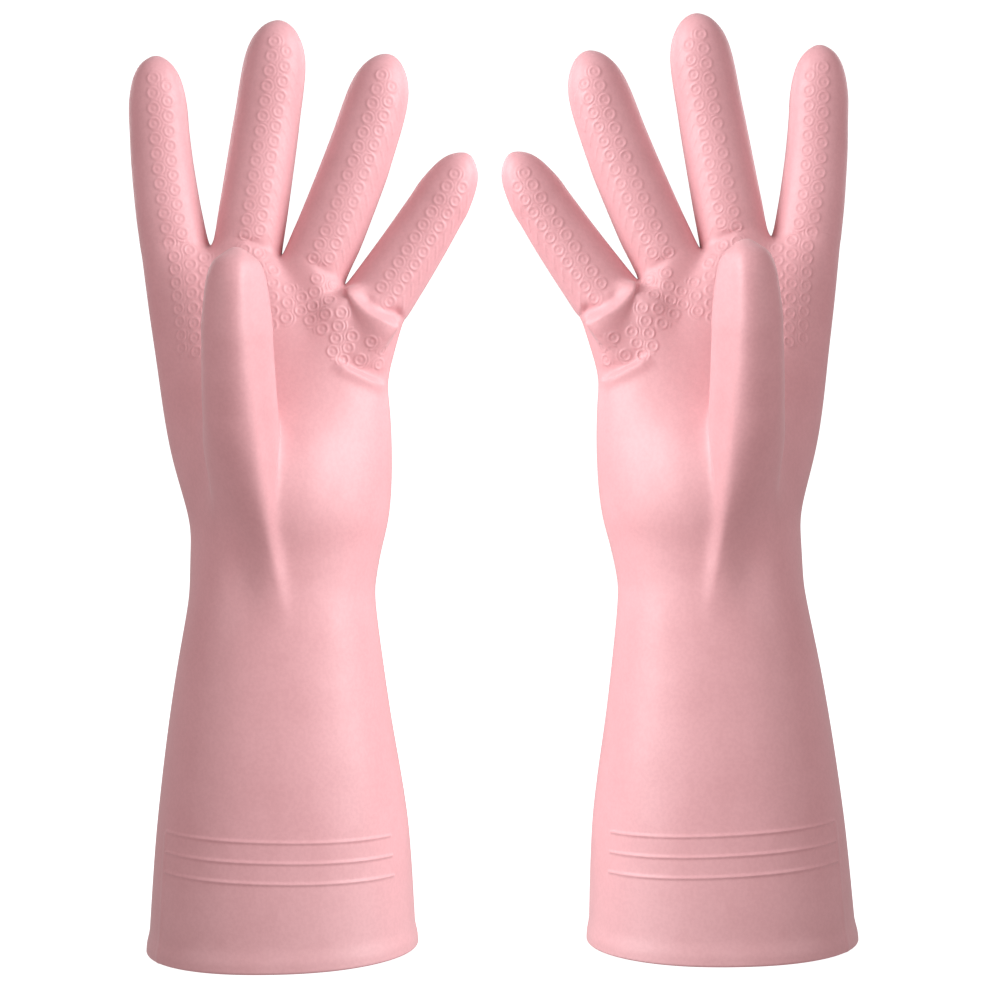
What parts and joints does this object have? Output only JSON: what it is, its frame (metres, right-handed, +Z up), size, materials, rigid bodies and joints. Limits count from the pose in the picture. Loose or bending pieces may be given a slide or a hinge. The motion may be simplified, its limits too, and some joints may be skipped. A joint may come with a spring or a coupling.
{
  "type": "rubber gloves",
  "caption": "Pair of long-cuffed rubber household gloves with splayed fingers, a forward thumb, raised ring grip on the palm side and a ribbed, rolled cuff.",
  "frame": {"origin": "on the surface that the gloves stand on, midway between them and in the middle of their depth", "axes": "+Z up from the cuffs to the fingertips, -Y the side that the palms and thumbs face, +X from the left-hand glove to the right-hand one"},
  "size_m": [0.2492, 0.0958, 0.3205],
  "materials": {
    "rubber_skin": "satin, soft pink, slightly translucent",
    "flock_lining": "matte cotton flock"
  },
  "bodies": {
    "left_gauntlet": {"left_cuff_bead": "rubber_skin", "left_gauntlet": "rubber_skin", "left_gauntlet_lining": "flock_lining", "left_wrist_flex": "rubber_skin"},
    "left_hand": {"left_hand": "rubber_skin", "left_hand_lining": "flock_lining", "left_index_knuckle_flex": "rubber_skin", "left_middle_knuckle_flex": "rubber_skin", "left_ring_knuckle_flex": "rubber_skin", "left_little_knuckle_flex": "rubber_skin", "left_thumb_root_flex": "rubber_skin"},
    "left_index_base": {"left_index_base": "rubber_skin", "left_index_middle_flex": "rubber_skin"},
    "left_index_tip": {"left_index_tip": "rubber_skin"},
    "left_middle_base": {"left_middle_base": "rubber_skin", "left_middle_middle_flex": "rubber_skin"},
    "left_middle_tip": {"left_middle_tip": "rubber_skin"},
    "left_ring_base": {"left_ring_base": "rubber_skin", "left_ring_middle_flex": "rubber_skin"},
    "left_ring_tip": {"left_ring_tip": "rubber_skin"},
    "left_little_base": {"left_little_base": "rubber_skin", "left_little_middle_flex": "rubber_skin"},
    "left_little_tip": {"left_little_tip": "rubber_skin"},
    "left_thumb_base": {"left_thumb_base": "rubber_skin", "left_thumb_middle_flex": "rubber_skin"},
    "left_thumb_tip": {"left_thumb_tip": "rubber_skin"},
    "right_gauntlet": {"right_cuff_bead": "rubber_skin", "right_gauntlet": "rubber_skin", "right_gauntlet_lining": "flock_lining", "right_wrist_flex": "rubber_skin"},
    "right_hand": {"right_hand": "rubber_skin", "right_hand_lining": "flock_lining", "right_index_knuckle_flex": "rubber_skin", "right_middle_knuckle_flex": "rubber_skin", "right_ring_knuckle_flex": "rubber_skin", "right_little_knuckle_flex": "rubber_skin", "right_thumb_root_flex": "rubber_skin"},
    "right_index_base": {"right_index_base": "rubber_skin", "right_index_middle_flex": "rubber_skin"},
    "right_index_tip": {"right_index_tip": "rubber_skin"},
    "right_middle_base": {"right_middle_base": "rubber_skin", "right_middle_middle_flex": "rubber_skin"},
    "right_middle_tip": {"right_middle_tip": "rubber_skin"},
    "right_ring_base": {"right_ring_base": "rubber_skin", "right_ring_middle_flex": "rubber_skin"},
    "right_ring_tip": {"right_ring_tip": "rubber_skin"},
    "right_little_base": {"right_little_base": "rubber_skin", "right_little_middle_flex": "rubber_skin"},
    "right_little_tip": {"right_little_tip": "rubber_skin"},
    "right_thumb_base": {"right_thumb_base": "rubber_skin", "right_thumb_middle_flex": "rubber_skin"},
    "right_thumb_tip": {"right_thumb_tip": "rubber_skin"}
  },
  "joints": [
    {"name": "pair_spacing", "type": "slide", "parent": "left_gauntlet", "child": "right_gauntlet", "axis": [1, 0, 0], "range_m": [0, 0.25]},
    {"name": "left_wrist", "type": "hinge", "parent": "left_gauntlet", "child": "left_hand", "pos_m": [-0.07418, 0.0109, 0.1275], "axis": [1, 0, 0], "range_deg": [-35, 35], "stiffness_Nm_per_rad": 0.12, "deforming": ["left_wrist_flex"]},
    {"name": "left_index_knuckle", "type": "hinge", "parent": "left_hand", "child": "left_index_base", "pos_m": [-0.11136, 0.01077, 0.25161], "axis": [0.989, 0, 0.148], "range_deg": [-10, 60], "stiffness_Nm_per_rad": 0.02, "deforming": ["left_index_knuckle_flex"]},
    {"name": "left_index_middle_joint", "type": "hinge", "parent": "left_index_base", "child": "left_index_tip", "pos_m": [-0.11406, 0.00915, 0.27791], "axis": [0.9984, 0, 0.0558], "range_deg": [0, 65], "stiffness_Nm_per_rad": 0.015, "deforming": ["left_index_middle_flex"]},
    {"name": "left_middle_knuckle", "type": "hinge", "parent": "left_hand", "child": "left_middle_base", "pos_m": [-0.08307, 0.0108, 0.25285], "axis": [0.9849, 0, -0.1728], "range_deg": [-10, 50], "stiffness_Nm_per_rad": 0.02, "deforming": ["left_middle_knuckle_flex"]},
    {"name": "left_middle_middle_joint", "type": "hinge", "parent": "left_middle_base", "child": "left_middle_tip", "pos_m": [-0.07746, 0.00915, 0.28485], "axis": [0.9849, 0, -0.1728], "range_deg": [0, 55], "stiffness_Nm_per_rad": 0.015, "deforming": ["left_middle_middle_flex"]},
    {"name": "left_ring_knuckle", "type": "hinge", "parent": "left_hand", "child": "left_ring_base", "pos_m": [-0.05772, 0.0108, 0.24447], "axis": [0.9088, 0, -0.4173], "range_deg": [-10, 60], "stiffness_Nm_per_rad": 0.02, "deforming": ["left_ring_knuckle_flex"]},
    {"name": "left_ring_middle_joint", "type": "hinge", "parent": "left_ring_base", "child": "left_ring_tip", "pos_m": [-0.04529, 0.00915, 0.27414], "axis": [0.9348, 0, -0.3551], "range_deg": [0, 65], "stiffness_Nm_per_rad": 0.015, "deforming": ["left_ring_middle_flex"]},
    {"name": "left_little_knuckle", "type": "hinge", "parent": "left_hand", "child": "left_little_base", "pos_m": [-0.03507, 0.01074, 0.23113], "axis": [0.8163, 0, -0.5777], "range_deg": [-10, 60], "stiffness_Nm_per_rad": 0.02, "deforming": ["left_little_knuckle_flex"]},
    {"name": "left_little_middle_joint", "type": "hinge", "parent": "left_little_base", "child": "left_little_tip", "pos_m": [-0.02221, 0.00915, 0.24988], "axis": [0.833, 0, -0.5532], "range_deg": [0, 65], "stiffness_Nm_per_rad": 0.015, "deforming": ["left_little_middle_flex"]},
    {"name": "left_thumb_root", "type": "hinge", "parent": "left_hand", "child": "left_thumb_base", "pos_m": [-0.08276, -0.02672, 0.18689], "axis": [-0.9997, 0, 0.0244], "range_deg": [-25, 16], "stiffness_Nm_per_rad": 0.02, "deforming": ["left_thumb_root_flex"]},
    {"name": "left_thumb_middle_joint", "type": "hinge", "parent": "left_thumb_base", "child": "left_thumb_tip", "pos_m": [-0.08204, -0.03461, 0.20792], "axis": [-0.9991, 0, 0.043], "range_deg": [0, 30], "stiffness_Nm_per_rad": 0.02, "deforming": ["left_thumb_middle_flex"]},
    {"name": "right_wrist", "type": "hinge", "parent": "right_gauntlet", "child": "right_hand", "pos_m": [0.07418, 0.0109, 0.1275], "axis": [1, 0, 0], "range_deg": [-35, 35], "stiffness_Nm_per_rad": 0.12, "deforming": ["right_wrist_flex"]},
    {"name": "right_index_knuckle", "type": "hinge", "parent": "right_hand", "child": "right_index_base", "pos_m": [0.11136, 0.01077, 0.25161], "axis": [0.989, 0, -0.148], "range_deg": [-10, 60], "stiffness_Nm_per_rad": 0.02, "deforming": ["right_index_knuckle_flex"]},
    {"name": "right_index_middle_joint", "type": "hinge", "parent": "right_index_base", "child": "right_index_tip", "pos_m": [0.11406, 0.00915, 0.27791], "axis": [0.9984, 0, -0.0558], "range_deg": [0, 65], "stiffness_Nm_per_rad": 0.015, "deforming": ["right_index_middle_flex"]},
    {"name": "right_middle_knuckle", "type": "hinge", "parent": "right_hand", "child": "right_middle_base", "pos_m": [0.08307, 0.0108, 0.25285], "axis": [0.9849, 0, 0.1728], "range_deg": [-10, 50], "stiffness_Nm_per_rad": 0.02, "deforming": ["right_middle_knuckle_flex"]},
    {"name": "right_middle_middle_joint", "type": "hinge", "parent": "right_middle_base", "child": "right_middle_tip", "pos_m": [0.07746, 0.00915, 0.28485], "axis": [0.9849, 0, 0.1728], "range_deg": [0, 55], "stiffness_Nm_per_rad": 0.015, "deforming": ["right_middle_middle_flex"]},
    {"name": "right_ring_knuckle", "type": "hinge", "parent": "right_hand", "child": "right_ring_base", "pos_m": [0.05772, 0.0108, 0.24447], "axis": [0.9088, 0, 0.4173], "range_deg": [-10, 60], "stiffness_Nm_per_rad": 0.02, "deforming": ["right_ring_knuckle_flex"]},
    {"name": "right_ring_middle_joint", "type": "hinge", "parent": "right_ring_base", "child": "right_ring_tip", "pos_m": [0.04529, 0.00915, 0.27414], "axis": [0.9348, 0, 0.3551], "range_deg": [0, 65], "stiffness_Nm_per_rad": 0.015, "deforming": ["right_ring_middle_flex"]},
    {"name": "right_little_knuckle", "type": "hinge", "parent": "right_hand", "child": "right_little_base", "pos_m": [0.03507, 0.01074, 0.23113], "axis": [0.8163, 0, 0.5777], "range_deg": [-10, 60], "stiffness_Nm_per_rad": 0.02, "deforming": ["right_little_knuckle_flex"]},
    {"name": "right_little_middle_joint", "type": "hinge", "parent": "right_little_base", "child": "right_little_tip", "pos_m": [0.02221, 0.00915, 0.24988], "axis": [0.833, 0, 0.5532], "range_deg": [0, 65], "stiffness_Nm_per_rad": 0.015, "deforming": ["right_little_middle_flex"]},
    {"name": "right_thumb_root", "type": "hinge", "parent": "right_hand", "child": "right_thumb_base", "pos_m": [0.08276, -0.02672, 0.18689], "axis": [-0.9997, 0, -0.0244], "range_deg": [-25, 16], "stiffness_Nm_per_rad": 0.02, "deforming": ["right_thumb_root_flex"]},
    {"name": "right_thumb_middle_joint", "type": "hinge", "parent": "right_thumb_base", "child": "right_thumb_tip", "pos_m": [0.08204, -0.03461, 0.20792], "axis": [-0.9991, 0, -0.043], "range_deg": [0, 30], "stiffness_Nm_per_rad": 0.02, "deforming": ["right_thumb_middle_flex"]}
  ]
}
